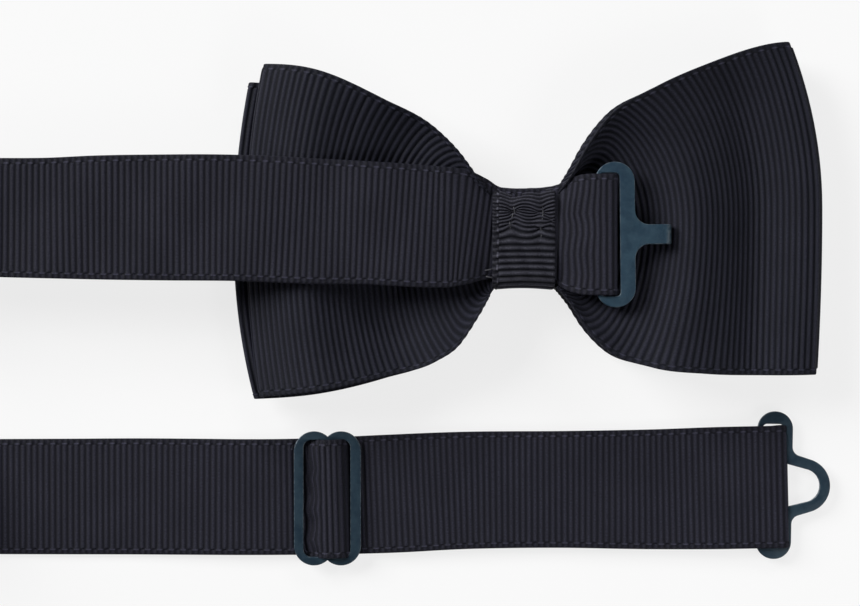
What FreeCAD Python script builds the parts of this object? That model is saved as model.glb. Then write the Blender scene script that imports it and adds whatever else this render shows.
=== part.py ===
import FreeCAD, Part
import os
import Sketcher

# A pre-tied bow tie of ribbon on an adjustable neck band, lying on its front:
# +Z is the back of the tie, +X runs along the bow and +Y across it.
# The origin is the middle of the knot's front face.

Vector = FreeCAD.Vector
doc = FreeCAD.newDocument("bow_tie")

# ---------------------------------------------------------------- sizes, in mm and degrees
sizes = {
    "ribbon": 0.45,             # thickness of one layer of grosgrain
    "strap_width": 22.2,        # 7/8 inch neck-band ribbon
    "bow_ribbon": 62.8,         # 2 1/2 inch bow ribbon
    "bow_right": 55.0,          # reach of the rear tier's right wing
    "bow_left": 51.0,           # reach of the rear tier's left wing
    "front_right": 54.0,        # reaches of the front tier
    "front_left": 53.6,
    "right_rise": 6.0,          # both wings lean towards +Y, the right one more
    "left_rise": 2.0,
    "tier_gap": 0.15,           # half the gap between the tiers along the middle
    "knot_width": 11.5,
    "knot_length": 19.0,
    "knot_depth": 12.1,
    "knot_wall": 0.55,
    "thread": 0.35,
    "plate": 0.9,               # thickness of the stamped steel
    "hook_plane": 12.05,        # height of the hook plate's middle
    "hook_x": 16.65,            # middle of the hook's frame
    "hook_y": 0.55,
    "stub_y": 0.8,              # middle of the ribbon's fold round the hook's bar
    "hook_turn": 0.9,
    "hook_frame": 7.3,
    "hook_length": 26.6,
    "folded_bar": 0.9,          # the hooks' bars inside the ribbon's folds
    "hook_front_bar": 2.8,
    "hook_tongue": 3.6,
    "hook_reach": 10.3,         # from the middle of the frame to the tip
    "hook_lip": 4.2,            # the tip turned back under the tongue
    "slider_x": -36.5,
    "slider_y": -48.6,
    "slider_lobe": 3.75,
    "slider_pitch": 5.35,       # between the lobes' middles
    "slider_length": 25.1,
    "slider_window": 22.6,
    "slider_bar": 1.7,
    "slider_base": 1.65,        # height of the slider's lower face
    "eye_turn": 1.3,            # the run to the eye bends this much at the slider
    "eye_x": 84.1,              # middle of the eye's frame, from the slider
    "eye_frame": 6.6,
    "eye_length": 27.7,
    "eye_bar": 1.2,
    "eye_loop": 5.1,            # outer radius of the round eye
    "eye_hole": 3.25,
    "eye_loop_x": 5.4,          # from the frame's middle to the eye's middle
    "eye_plane": 1.15,          # height of the eye plate's middle
    "turn_x": -136.0,           # where the band stands on edge and turns back
    "twist_x": -98.0,           # where the band starts to twist
    "upper_y": 4.0,             # middle of the band's upper run at the left
    "upper_z": 12.3,
}
sheet = doc.addObject("Spreadsheet::Sheet", "Sizes")
for row, (name, size) in enumerate(sizes.items(), 1):
    sheet.set("A%d" % row, name)
    sheet.set("B%d" % row, str(size))
    sheet.setAlias("B%d" % row, name)
doc.recompute()


def number(expression):
    return float(sheet.evalExpression(str(expression)))


# ---------------------------------------------------------------- sketch helpers
def new_body(label):
    body = doc.addObject("PartDesign::Body", label)
    body.Label = label
    return body


def new_sketch(body, name, role):
    sketch = body.newObject("Sketcher::SketchObject", name)
    planes = [feature for feature in body.Origin.OriginFeatures if feature.Role == role]
    sketch.AttachmentSupport = [(planes[0], "")]
    sketch.MapMode = "FlatFace"
    return sketch


def lift_sketch(sketch, distance):
    """Move a sketch off its plane, along the plane's normal."""
    sketch.AttachmentOffset = FreeCAD.Placement(Vector(0, 0, number(distance)), FreeCAD.Rotation())
    sketch.setExpression("AttachmentOffset.Base.z", str(distance))


def pin(sketch, edge, end, across, up):
    """Hold one end of an edge at two expressions of the sheet."""
    for kind, expression in (("DistanceX", across), ("DistanceY", up)):
        sketch.addConstraint(Sketcher.Constraint(kind, -1, 1, edge, end, number(expression)))
        sketch.setExpression("Constraints[%d]" % (sketch.ConstraintCount - 1), str(expression))


def polygon(sketch, points):
    first = sketch.GeometryCount
    places = [Vector(number(across), number(up), 0) for across, up in points]
    last = len(points) - 1
    for index, place in enumerate(places):
        sketch.addGeometry(Part.LineSegment(place, places[0 if index == last else index + 1]))
    for index, (across, up) in enumerate(points):
        pin(sketch, first + index, 1, across, up)
        following = first if index == last else first + index + 1
        sketch.addConstraint(Sketcher.Constraint("Coincident", first + index, 2, following, 1))


def stadium(sketch, middle, width, length):
    """A slot shape with round ends, standing along the sketch's second axis."""
    radius = number(width) / 2
    x = number(middle)
    end = number(length) / 2 - radius
    first = sketch.GeometryCount
    circle_top = Part.Circle(Vector(x, end, 0), Vector(0, 0, 1), radius)
    circle_low = Part.Circle(Vector(x, -end, 0), Vector(0, 0, 1), radius)
    half_turn = 3.141592653589793
    sketch.addGeometry(Part.ArcOfCircle(circle_top, 0, half_turn))
    sketch.addGeometry(Part.LineSegment(Vector(x - radius, end, 0), Vector(x - radius, -end, 0)))
    sketch.addGeometry(Part.ArcOfCircle(circle_low, half_turn, 2 * half_turn))
    sketch.addGeometry(Part.LineSegment(Vector(x + radius, -end, 0), Vector(x + radius, end, 0)))
    for index in range(4):
        following = first + (index + 1) % 4
        sketch.addConstraint(Sketcher.Constraint("Tangent", first + index, 2, following, 1))
    sketch.addConstraint(Sketcher.Constraint("Vertical", first + 1))
    half_end = "(%s)/2 - (%s)/2" % (length, width)
    pin(sketch, first, 3, middle, half_end)
    pin(sketch, first + 2, 3, middle, "-(%s)" % half_end)
    sketch.addConstraint(Sketcher.Constraint("Radius", first, radius))
    sketch.setExpression("Constraints[%d]" % (sketch.ConstraintCount - 1), "(%s)/2" % width)


def pad(body, name, sketch, length):
    feature = body.newObject("PartDesign::Pad", name)
    feature.Profile = sketch
    feature.setExpression("Length", str(length))
    return feature


def volume_now(body):
    doc.recompute()
    return body.Shape.Volume


def pocket(body, name, sketch, length):
    """A cut from both sides of the sketch's plane."""
    before = volume_now(body)
    feature = body.newObject("PartDesign::Pocket", name)
    feature.Profile = sketch
    feature.Midplane = True
    feature.setExpression("Length", str(length))
    doc.recompute()
    if not volume_now(body) < before - 1e-3:
        raise RuntimeError("%s cuts nothing" % name)
    return feature


# ---------------------------------------------------------------- soft shapes
def ribbon_strip(label, stations):
    """A flat ribbon lofted along X: each station is x, y, z, share of the width, roll."""
    body = new_body(label)
    sections = []
    for index, (x, y, z, share, roll) in enumerate(stations):
        sketch = new_sketch(body, "%s_section_%d" % (label, index), "YZ_Plane")
        half_width = "Sizes.strap_width * %g / 2" % share
        half_ribbon = "Sizes.ribbon / 2"
        polygon(sketch, [
            ("-" + half_width, "-" + half_ribbon),
            (half_width, "-" + half_ribbon),
            (half_width, half_ribbon),
            ("-" + half_width, half_ribbon),
        ])
        turn = FreeCAD.Rotation(Vector(0, 0, 1), roll)
        sketch.AttachmentOffset = FreeCAD.Placement(Vector(number(y), number(z), number(x)), turn)
        for axis, expression in (("x", y), ("y", z), ("z", x)):
            sketch.setExpression("AttachmentOffset.Base.%s" % axis, str(expression))
        sections.append(sketch)
    loft = body.newObject("PartDesign::AdditiveLoft", label + "_loft")
    loft.Profile = sections[0]
    loft.Sections = sections[1:]
    loft.Ruled = True
    return body


def folded_ribbon(label, start_top, start_low, end, middle, gap):
    """Ribbon folded back on itself round a bar: two legs along X and a round end."""
    body = new_body(label)
    sketch = new_sketch(body, label + "_outline", "XZ_Plane")
    inner = number(gap) / 2
    outer = inner + number("Sizes.ribbon")
    x, z = number(end), number(middle)
    quarter = 1.5707963267948966
    outer_circle = Part.Circle(Vector(x, z, 0), Vector(0, 0, 1), outer)
    inner_circle = Part.Circle(Vector(x, z, 0), Vector(0, 0, 1), inner)
    sketch.addGeometry(Part.ArcOfCircle(outer_circle, -quarter, quarter))
    sketch.addGeometry(Part.ArcOfCircle(inner_circle, -quarter, quarter))
    top, low = number(start_top), number(start_low)
    corners = [
        (Vector(x, z + outer, 0), Vector(top, z + outer, 0)),
        (Vector(top, z + outer, 0), Vector(top, z + inner, 0)),
        (Vector(top, z + inner, 0), Vector(x, z + inner, 0)),
        (Vector(x, z - inner, 0), Vector(low, z - inner, 0)),
        (Vector(low, z - inner, 0), Vector(low, z - outer, 0)),
        (Vector(low, z - outer, 0), Vector(x, z - outer, 0)),
    ]
    for start, finish in corners:
        sketch.addGeometry(Part.LineSegment(start, finish))
    for one, end_one, other, end_other in (
        (0, 2, 2, 1), (2, 2, 3, 1), (3, 2, 4, 1), (4, 2, 1, 2),
        (1, 1, 5, 1), (5, 2, 6, 1), (6, 2, 7, 1), (7, 2, 0, 1),
    ):
        sketch.addConstraint(Sketcher.Constraint("Coincident", one, end_one, other, end_other))
    outer_words = "((%s) / 2 + Sizes.ribbon)" % gap
    inner_words = "((%s) / 2)" % gap
    pin(sketch, 2, 1, end, "%s + %s" % (middle, outer_words))
    pin(sketch, 3, 1, start_top, "%s + %s" % (middle, outer_words))
    pin(sketch, 4, 1, start_top, "%s + %s" % (middle, inner_words))
    pin(sketch, 5, 1, end, "%s - %s" % (middle, inner_words))
    pin(sketch, 6, 1, start_low, "%s - %s" % (middle, inner_words))
    pin(sketch, 7, 1, start_low, "%s - %s" % (middle, outer_words))
    pin(sketch, 7, 2, end, "%s - %s" % (middle, outer_words))
    pin(sketch, 1, 2, end, "%s + %s" % (middle, inner_words))
    lift_sketch(sketch, "-Sizes.strap_width / 2")
    pad(body, label + "_pad", sketch, "Sizes.strap_width")
    return body


def outlined_ribbon(label, points, width="Sizes.strap_width"):
    """Ribbon of one thickness whose side view is an outline in X and Z."""
    body = new_body(label)
    sketch = new_sketch(body, label + "_outline", "XZ_Plane")
    polygon(sketch, points)
    lift_sketch(sketch, "-(%s) / 2" % width)
    pad(body, label + "_pad", sketch, width)
    return body


waist_share = 0.12              # the waist is straight as far as this share of the reach
# Each wing from waist to fold: share of the reach, share of the half height, height of the
# plane between the tiers, thickness of the loop, lift of its edges.
wing_sections = [
    (0.0, 0.242, 5.35, 3.9, 0.2),
    (waist_share, 0.242, 5.35, 3.9, 0.2),
    (0.185, 0.46, 5.9, 2.5, 2.5),
    (0.26, 0.59, 6.1, 2.4, 3.5),
    (0.37, 0.75, 6.8, 2.4, 4.2),
    (0.55, 0.875, 6.9, 2.4, 4.1),
    (0.77, 0.975, 6.3, 2.4, 3.1),
    (1.0, 1.0, 5.4, 1.8, 0.5),
]


def crescent(body, name, half, middle, thickness, lift, side):
    """The loop's section: two arcs over each other, with the edges lifted to one side."""
    sketch = new_sketch(body, name, "YZ_Plane")
    half_number = number(half)
    inner = "%g + %d * Sizes.tier_gap" % (middle, side)
    levels = [inner, "%s + %g" % (inner, side * thickness)]
    radius = (half_number ** 2 + lift ** 2) / (2 * lift)
    for level in levels:
        edge = number(level) + side * lift
        start, finish = Vector(-half_number, edge, 0), Vector(half_number, edge, 0)
        sketch.addGeometry(Part.Arc(start, Vector(0, number(level), 0), finish))
    for start in (-half_number, half_number):
        edges = [number(level) + side * lift for level in levels]
        sketch.addGeometry(Part.LineSegment(Vector(start, edges[0], 0), Vector(start, edges[1], 0)))
    left_end, right_end = (1, 2) if side > 0 else (2, 1)
    for arc in (0, 1):
        for line, words in ((2, "-(%s)" % half), (3, half)):
            arc_end = left_end if line == 2 else right_end
            sketch.addConstraint(Sketcher.Constraint("Coincident", arc, arc_end, line, arc + 1))
            pin(sketch, line, arc + 1, words, "%s + %g" % (levels[arc], side * lift))
    for arc in (0, 1):
        sketch.addConstraint(Sketcher.Constraint("Radius", arc, radius))
    return sketch


def bow_tier(label, right, left, side):
    """One tier of the bow: both wings lofted from the gathered waist to their folds."""
    body = new_body(label)
    for wing, reach in (("right", right), ("left", "-" + left)):
        sections = []
        for index, (share, height, middle, thickness, lift) in enumerate(wing_sections):
            name = "%s_%s_%d" % (label, wing, index)
            half = "Sizes.bow_ribbon * %g / 2" % height
            section = crescent(body, name, half, middle, thickness, lift, side)
            rise = "Sizes.%s_rise * %g" % (wing, max(0, share - waist_share) / (1 - waist_share))
            x = "%s * %g" % (reach, share)
            section.AttachmentOffset = FreeCAD.Placement(
                Vector(number(rise), 0, number(x)), FreeCAD.Rotation())
            section.setExpression("AttachmentOffset.Base.x", rise)
            section.setExpression("AttachmentOffset.Base.z", x)
            sections.append(section)
        loft = body.newObject("PartDesign::AdditiveLoft", "%s_%s" % (label, wing))
        loft.Profile = sections[0]
        loft.Sections = sections[1:]
        loft.Ruled = True
        doc.recompute()
    return body


# ---------------------------------------------------------------- the bow
rear_bow_loop = bow_tier("rear_bow_loop", "Sizes.bow_right", "Sizes.bow_left", 1)
front_bow_loop = bow_tier("front_bow_loop", "Sizes.front_right", "Sizes.front_left", -1)


def rectangle_ring(label, role, outer, inner, length, middle=("0", "0")):
    """A rectangular tube: outer and inner full sizes in the sketch's plane."""
    body = new_body(label)
    sketch = new_sketch(body, label + "_outline", role)
    for width, depth in (outer, inner):
        across, up = middle
        polygon(sketch, [
            ("%s - (%s) / 2" % (across, width), "%s - (%s) / 2" % (up, depth)),
            ("%s + (%s) / 2" % (across, width), "%s - (%s) / 2" % (up, depth)),
            ("%s + (%s) / 2" % (across, width), "%s + (%s) / 2" % (up, depth)),
            ("%s - (%s) / 2" % (across, width), "%s + (%s) / 2" % (up, depth)),
        ])
    lift_sketch(sketch, "-(%s) / 2" % length)
    pad(body, label + "_pad", sketch, length)
    return body


# The ribbon wrapped round the waist and the band, sewn shut at the back.
knot_wrap = rectangle_ring(
    "knot_wrap", "YZ_Plane",
    ("Sizes.knot_length", "Sizes.knot_depth"),
    ("Sizes.knot_length - 2 * Sizes.knot_wall", "Sizes.knot_depth - 2 * Sizes.knot_wall"),
    "Sizes.knot_width", ("0", "Sizes.knot_depth / 2"))

# Thread wound round the waist of both tiers, inside the knot.
waist_width = "(Sizes.bow_ribbon * 0.242 + 0.2)"
bow_binding_thread = rectangle_ring(
    "bow_binding_thread", "YZ_Plane",
    (waist_width + " + 2 * Sizes.thread", "8.6 + 2 * Sizes.thread"),
    (waist_width, "8.6"),
    "4", ("0", "5.4"))


# Stitches that close the knot: two short columns and a tack at the edge, on its back.
def stitch_group(label, places, length, height, top):
    body = new_body(label)
    for index, (x, y) in enumerate(places):
        sketch = new_sketch(body, "%s_%d" % (label, index), "XY_Plane")
        polygon(sketch, [
            ("%g - (%s) / 2" % (x, length), "%g - (%s) / 2" % (y, height)),
            ("%g + (%s) / 2" % (x, length), "%g - (%s) / 2" % (y, height)),
            ("%g + (%s) / 2" % (x, length), "%g + (%s) / 2" % (y, height)),
            ("%g - (%s) / 2" % (x, length), "%g + (%s) / 2" % (y, height)),
        ])
        lift_sketch(sketch, top)
        pad(body, "%s_pad_%d" % (label, index), sketch, "Sizes.thread")
    return body


knot_stitches = stitch_group(
    "knot_stitches",
    [(-2.1, 3.4), (-2.1, 5.6), (3.4, 3.6), (3.4, 5.8), (-5.1, -6.3), (-5.1, -7.2)],
    "0.9", "Sizes.thread", "Sizes.knot_depth")

# ---------------------------------------------------------------- the neck band, fixed part
fold_gap = "(Sizes.plate + 0.5)"
fold_start = 12.0                # where the fold's upper leg begins
fold_top = "Sizes.hook_plane + %s / 2 + Sizes.ribbon / 2" % fold_gap
pinch = 0.7                     # the band is squeezed narrower inside the knot

neck_band_upper = ribbon_strip("neck_band_upper", [
    ("Sizes.twist_x", "Sizes.upper_y", "Sizes.upper_z", 1, 0),
    (-48, "Sizes.upper_y", "Sizes.upper_z + 0.4", 1, 0),
    (-14, 2.0, "Sizes.upper_z + 0.2", 1, 0),
    (-6.5, 0.9, 10.9, pinch, 0),
    (6.3, 0.7, 10.9, pinch, 0),
    (fold_start, "Sizes.stub_y", fold_top, 1, 0),
])

# Past the bow the band twists until it stands on edge, and turns back towards the slider.
twist_steps = 6
upper_twist = []
lower_twist = []
for step in range(twist_steps + 1):
    share = step / twist_steps
    eased = share * share * (3 - 2 * share)
    roll = 90 * eased
    x = "Sizes.twist_x + (Sizes.turn_x - Sizes.twist_x) * %g" % share
    up = "(Sizes.strap_width * sin(%g deg) + Sizes.ribbon * cos(%g deg)) / 2" % (roll, roll)
    level = "Sizes.upper_z + (Sizes.strap_width / 2 - Sizes.upper_z) * %g" % eased
    upper_twist.append((x, "Sizes.upper_y", level, 1, -roll))
    lower_twist.append((x, "Sizes.slider_y", up, 1, roll))
neck_band_upper_twist = ribbon_strip("neck_band_upper_twist", upper_twist)
neck_band_lower_twist = ribbon_strip("neck_band_lower_twist", lower_twist)

neck_band_turn = new_body("neck_band_turn")
turn_sketch = new_sketch(neck_band_turn, "neck_band_turn_section", "YZ_Plane")
polygon(turn_sketch, [
    ("Sizes.upper_y - Sizes.ribbon / 2", "0"),
    ("Sizes.upper_y + Sizes.ribbon / 2", "0"),
    ("Sizes.upper_y + Sizes.ribbon / 2", "Sizes.strap_width"),
    ("Sizes.upper_y - Sizes.ribbon / 2", "Sizes.strap_width"),
])
lift_sketch(turn_sketch, "Sizes.turn_x")
middle_y = number("(Sizes.upper_y + Sizes.slider_y) / 2")
axis = Part.LineSegment(Vector(middle_y, 0, 0), Vector(middle_y, 20, 0))
axis_line = turn_sketch.addGeometry(axis, True)
turn_sketch.addConstraint(Sketcher.Constraint("Vertical", axis_line))
pin(turn_sketch, axis_line, 1, "(Sizes.upper_y + Sizes.slider_y) / 2", "0")
turn = neck_band_turn.newObject("PartDesign::Revolution", "neck_band_turn_revolved")
turn.Profile = turn_sketch
turn.ReferenceAxis = (turn_sketch, ["Axis0"])
turn.Angle = 180

neck_band_lower = ribbon_strip("neck_band_lower", [
    ("Sizes.twist_x", "Sizes.slider_y", "Sizes.ribbon / 2", 1, 0),
    (15, "Sizes.slider_y", "Sizes.ribbon / 2", 1, 0),
])

# The band's end is folded round the hook's bar and tacked to itself beside the knot.
band_hook_fold = folded_ribbon(
    "band_hook_fold", "%g" % fold_start, "8.5", "Sizes.hook_x - 0.75", "Sizes.hook_plane", fold_gap)
band_hook_fold.Placement = FreeCAD.Placement(Vector(0, number("Sizes.stub_y"), 0), FreeCAD.Rotation())


# ---------------------------------------------------------------- stamped steel
def plate_sketch(body, name, level):
    """A sketch that lies flat at a height given by an expression."""
    sketch = new_sketch(body, name, "XY_Plane")
    lift_sketch(sketch, level)
    return sketch


def circle(sketch, middle, radius):
    centre = Vector(number(middle), 0, 0)
    index = sketch.addGeometry(Part.Circle(centre, Vector(0, 0, 1), number(radius)))
    pin(sketch, index, 3, middle, "0")
    sketch.addConstraint(Sketcher.Constraint("Radius", index, number(radius)))
    sketch.setExpression("Constraints[%d]" % (sketch.ConstraintCount - 1), radius)


t_hook = new_body("t_hook")
hook_frame_sketch = plate_sketch(t_hook, "t_hook_outer", "Sizes.hook_plane - Sizes.plate / 2")
stadium(hook_frame_sketch, "0", "Sizes.hook_frame", "Sizes.hook_length")
pad(t_hook, "t_hook_plate", hook_frame_sketch, "Sizes.plate")
doc.recompute()
hook_window = plate_sketch(t_hook, "t_hook_window", "Sizes.hook_plane")
stadium(hook_window, "(Sizes.folded_bar - Sizes.hook_front_bar) / 2",
        "Sizes.hook_frame - Sizes.folded_bar - Sizes.hook_front_bar", "Sizes.hook_length - 2")
pocket(t_hook, "t_hook_window_cut", hook_window, "4 * Sizes.plate")
tongue_sketch = new_sketch(t_hook, "t_hook_tongue", "XZ_Plane")
tongue_top = "Sizes.hook_plane + Sizes.plate / 2"
tongue_low = "Sizes.hook_plane - Sizes.plate / 2"
lip_top = "Sizes.hook_plane - Sizes.plate / 2 - 0.8"
lip_low = "Sizes.hook_plane - Sizes.plate / 2 - 1.5"
front_bar_x = "Sizes.hook_frame / 2 - Sizes.hook_front_bar / 2"
polygon(tongue_sketch, [
    (front_bar_x, tongue_low),
    ("Sizes.hook_reach - Sizes.plate", tongue_low),
    ("Sizes.hook_reach - Sizes.plate", lip_top),
    ("Sizes.hook_reach - Sizes.hook_lip", lip_top),
    ("Sizes.hook_reach - Sizes.hook_lip", lip_low),
    ("Sizes.hook_reach - 0.5", lip_low),
    ("Sizes.hook_reach", lip_low + " + 0.5"),
    ("Sizes.hook_reach", tongue_top + " - 0.5"),
    ("Sizes.hook_reach - 0.5", tongue_top),
    (front_bar_x, tongue_top),
])
lift_sketch(tongue_sketch, "-Sizes.hook_tongue / 2")
pad(t_hook, "t_hook_tongue_pad", tongue_sketch, "Sizes.hook_tongue")
t_hook.Placement = FreeCAD.Placement(
    Vector(number("Sizes.hook_x"), number("Sizes.hook_y"), 0),
    FreeCAD.Rotation(Vector(0, 0, 1), number("Sizes.hook_turn")))

slider = new_body("slider")
for side in (-1, 1):
    lobe = plate_sketch(slider, "slider_lobe_%s" % ("left" if side < 0 else "right"), "Sizes.slider_base")
    stadium(lobe, "%d * Sizes.slider_pitch / 2" % side, "2 * Sizes.slider_lobe", "Sizes.slider_length")
    pad(slider, lobe.Label + "_pad", lobe, "Sizes.plate")
    doc.recompute()
window_width = "(Sizes.slider_pitch / 2 + Sizes.slider_lobe - 1.5 * Sizes.slider_bar)"
for side in (-1, 1):
    cut = plate_sketch(slider, "slider_window_%s" % ("left" if side < 0 else "right"), "Sizes.slider_base")
    near = "%d * Sizes.slider_bar / 2" % side
    far = "%d * (Sizes.slider_bar / 2 + %s)" % (side, window_width)
    half_window = "Sizes.slider_window / 2"
    polygon(cut, [
        (near, "-" + half_window),
        (far, "-%s + 0.1" % half_window),
        (far, half_window + " - 0.1"),
        (near, half_window),
    ])
    pocket(slider, cut.Label + "_cut", cut, "4 * Sizes.plate")
slider_place = FreeCAD.Placement(
    Vector(number("Sizes.slider_x"), number("Sizes.slider_y"), 0), FreeCAD.Rotation())
slider.Placement = slider_place

eye_hook = new_body("eye_hook")
eye_face = "Sizes.eye_plane - Sizes.plate / 2"
eye_frame_sketch = plate_sketch(eye_hook, "eye_hook_outer", eye_face)
stadium(eye_frame_sketch, "0", "Sizes.eye_frame", "Sizes.eye_length")
pad(eye_hook, "eye_hook_plate", eye_frame_sketch, "Sizes.plate")
doc.recompute()
loop_sketch = plate_sketch(eye_hook, "eye_hook_loop", eye_face)
circle(loop_sketch, "Sizes.eye_loop_x", "Sizes.eye_loop")
pad(eye_hook, "eye_hook_loop_pad", loop_sketch, "Sizes.plate")
doc.recompute()
eye_window = plate_sketch(eye_hook, "eye_hook_window", "Sizes.eye_plane")
stadium(eye_window, "(Sizes.folded_bar - Sizes.eye_bar) / 2",
        "Sizes.eye_frame - Sizes.eye_bar - Sizes.folded_bar", "Sizes.eye_length - 2.2")
pocket(eye_hook, "eye_hook_window_cut", eye_window, "4 * Sizes.plate")
hole_sketch = plate_sketch(eye_hook, "eye_hook_hole", "Sizes.eye_plane")
circle(hole_sketch, "Sizes.eye_loop_x", "Sizes.eye_hole")
pocket(eye_hook, "eye_hook_hole_cut", hole_sketch, "4 * Sizes.plate")
# The eye's opening runs on into the window, so the strip bulges out like a loop of wire.
mouth_sketch = plate_sketch(eye_hook, "eye_hook_mouth", "Sizes.eye_plane")
polygon(mouth_sketch, [
    ("0", "-Sizes.eye_hole"),
    ("Sizes.eye_loop_x", "-Sizes.eye_hole"),
    ("Sizes.eye_loop_x", "Sizes.eye_hole"),
    ("0", "Sizes.eye_hole"),
])
pocket(eye_hook, "eye_hook_mouth_cut", mouth_sketch, "4 * Sizes.plate")
eye_turn = FreeCAD.Rotation(Vector(0, 0, 1), number("Sizes.eye_turn"))
eye_place = FreeCAD.Placement(slider_place.Base, eye_turn)
eye_hook.Placement = eye_place.multiply(
    FreeCAD.Placement(Vector(number("Sizes.eye_x"), 0, 0), FreeCAD.Rotation()))

# ---------------------------------------------------------------- the neck band, adjusting part
# The band's end is wrapped round the slider's middle bar and sewn, and runs back from there.
slider_top = "Sizes.slider_base + Sizes.plate"
return_low = "0.6"
return_top = "0.6 + Sizes.ribbon"
wrap_inner = "(Sizes.slider_bar / 2 + 0.1)"
wrap_outer = "(Sizes.slider_bar / 2 + 0.1 + Sizes.ribbon)"
band_return = outlined_ribbon("band_return", [
    ("-" + wrap_outer, return_low),
    ("48", return_low),
    ("48", return_top),
    ("-" + wrap_inner, return_top),
    ("-" + wrap_inner, slider_top + " + 0.1"),
    (wrap_inner, slider_top + " + 0.1"),
    (wrap_inner, return_top + " + 0.1"),
    (wrap_outer, return_top + " + 0.1"),
    (wrap_outer, slider_top + " + 0.1 + Sizes.ribbon"),
    ("-" + wrap_outer, slider_top + " + 0.1 + Sizes.ribbon"),
])
band_return.Placement = slider_place

# A seam through both layers beside the bar.
end_seam = stitch_group(
    "end_seam", [(3.0, y) for y in (-8, -4, 0, 4, 8)], "Sizes.thread", "2.4", return_top)
end_seam.Placement = slider_place

# Where the band weaves through the slider: under the outer bars and over the middle one.
under = "(%s + 0.07)" % return_top
over = "(%s + 0.15 + Sizes.ribbon)" % slider_top
weave = [(-8, under), (-4.6, under), (-1.9, over), (1.9, over), (4.6, under), (8, under)]
weave_outline = [("%g" % x, z) for x, z in weave]
weave_outline += [("%g" % x, z + " + Sizes.ribbon") for x, z in reversed(weave)]
band_weave = outlined_ribbon("band_weave", weave_outline)
band_weave.Placement = slider_place

# The fold round the bar of the eye: its upper leg is the run that lies over the return.
eye_window_end = "Sizes.eye_x + Sizes.eye_frame / 2 - Sizes.eye_bar"
eye_fold_end = "%s - 0.3 - %s / 2 - Sizes.ribbon" % (eye_window_end, fold_gap)
band_eye_fold = folded_ribbon("band_eye_fold", "37.5", "72", eye_fold_end, "Sizes.eye_plane", fold_gap)
band_eye_fold.Placement = eye_place

# Thread that holds the hook's fold shut, hidden between its two legs.
hook_end_tack = stitch_group(
    "hook_end_tack", [(10.2, y) for y in (-6, -2, 2, 6)], "Sizes.thread", "1.6",
    "Sizes.hook_plane - %s / 2" % fold_gap)
hook_end_tack.Placement = band_hook_fold.Placement

# ---------------------------------------------------------------- check and write
doc.recompute()
for item in doc.Objects:
    if "Invalid" in item.State or "Error" in item.State:
        raise RuntimeError("%s failed: %s" % (item.Label, item.State))

subparts = [
    rear_bow_loop, front_bow_loop, bow_binding_thread, knot_wrap, knot_stitches,
    neck_band_upper, neck_band_upper_twist, neck_band_turn, neck_band_lower_twist,
    neck_band_lower, band_hook_fold, hook_end_tack, t_hook,
    slider, band_return, end_seam, band_weave, band_eye_fold, eye_hook,
]
os.makedirs("parts", exist_ok=True)
for item in subparts:
    shape = item.Shape
    if shape.isNull() or not shape.isValid() or not shape.Solids:
        raise RuntimeError("%s has no valid solid" % item.Label)
    shape.exportStep("parts/%s.step" % item.Label)
    box = shape.BoundBox
    print("%-24s %9.1f mm3  x %7.2f %7.2f  y %7.2f %7.2f  z %6.2f %6.2f" % (
        item.Label, shape.Volume, box.XMin, box.XMax, box.YMin, box.YMax, box.ZMin, box.ZMax))
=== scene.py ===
import math

import bmesh
import bpy
import numpy as np
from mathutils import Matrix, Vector


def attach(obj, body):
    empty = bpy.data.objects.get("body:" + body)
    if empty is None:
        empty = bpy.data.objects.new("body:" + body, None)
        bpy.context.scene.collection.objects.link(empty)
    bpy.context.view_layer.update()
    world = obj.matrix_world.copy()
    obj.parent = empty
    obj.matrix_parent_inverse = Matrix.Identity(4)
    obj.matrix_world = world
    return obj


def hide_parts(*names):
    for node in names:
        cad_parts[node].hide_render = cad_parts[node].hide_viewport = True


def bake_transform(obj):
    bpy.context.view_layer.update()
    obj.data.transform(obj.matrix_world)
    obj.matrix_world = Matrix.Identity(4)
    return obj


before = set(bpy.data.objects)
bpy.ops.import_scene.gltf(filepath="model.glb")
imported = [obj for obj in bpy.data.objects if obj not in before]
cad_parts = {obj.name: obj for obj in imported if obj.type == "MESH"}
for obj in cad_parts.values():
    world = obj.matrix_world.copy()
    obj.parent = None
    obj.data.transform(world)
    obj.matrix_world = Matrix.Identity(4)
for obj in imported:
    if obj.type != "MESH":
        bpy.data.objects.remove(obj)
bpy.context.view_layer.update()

mm = 0.001
print("frame loaded")


def addObject(name, data):
    holder = bpy.data.objects.new(name, data)
    bpy.context.collection.objects.link(holder)
    return holder


# camera, straight above the back of the tie; viewWidth is the width of table that it sees, in mm
cameraSetup = {"x": -17.2, "y": -12.0, "height": 400.0, "viewWidth": 162.0, "sensor": 36.0}
cameraData = bpy.data.cameras.new("camera")
cameraData.lens = cameraSetup["sensor"] * cameraSetup["height"] / cameraSetup["viewWidth"]
cameraData.sensor_width = cameraSetup["sensor"]
cameraData.clip_end = 10
camera = addObject("camera", cameraData)
camera.location = Vector((cameraSetup["x"], cameraSetup["y"], cameraSetup["height"])) * mm
bpy.context.scene.camera = camera
bpy.context.scene.view_settings.view_transform = "Standard"


# ---- node tree helpers
def feed(tree, source, target):
    if isinstance(source, bpy.types.NodeSocket):
        tree.links.new(source, target)
    else:
        target.default_value = source


def feedAll(tree, sockets, values):
    for name, value in values.items():
        feed(tree, value, sockets[name])


def addNode(tree, kind, values=None, **settings):
    # values are sockets or plain values by input name; settings are the node's own properties
    node = tree.nodes.new(kind)
    for name, value in settings.items():
        setattr(node, name, value)
    feedAll(tree, node.inputs, values or {})
    return node


def compute(tree, operation, *values, clamp=False):
    # one Math node; values are sockets or numbers
    node = addNode(tree, "ShaderNodeMath", operation=operation, use_clamp=clamp)
    for value, target in zip(values, node.inputs):
        feed(tree, value, target)
    return node.outputs[0]


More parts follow.
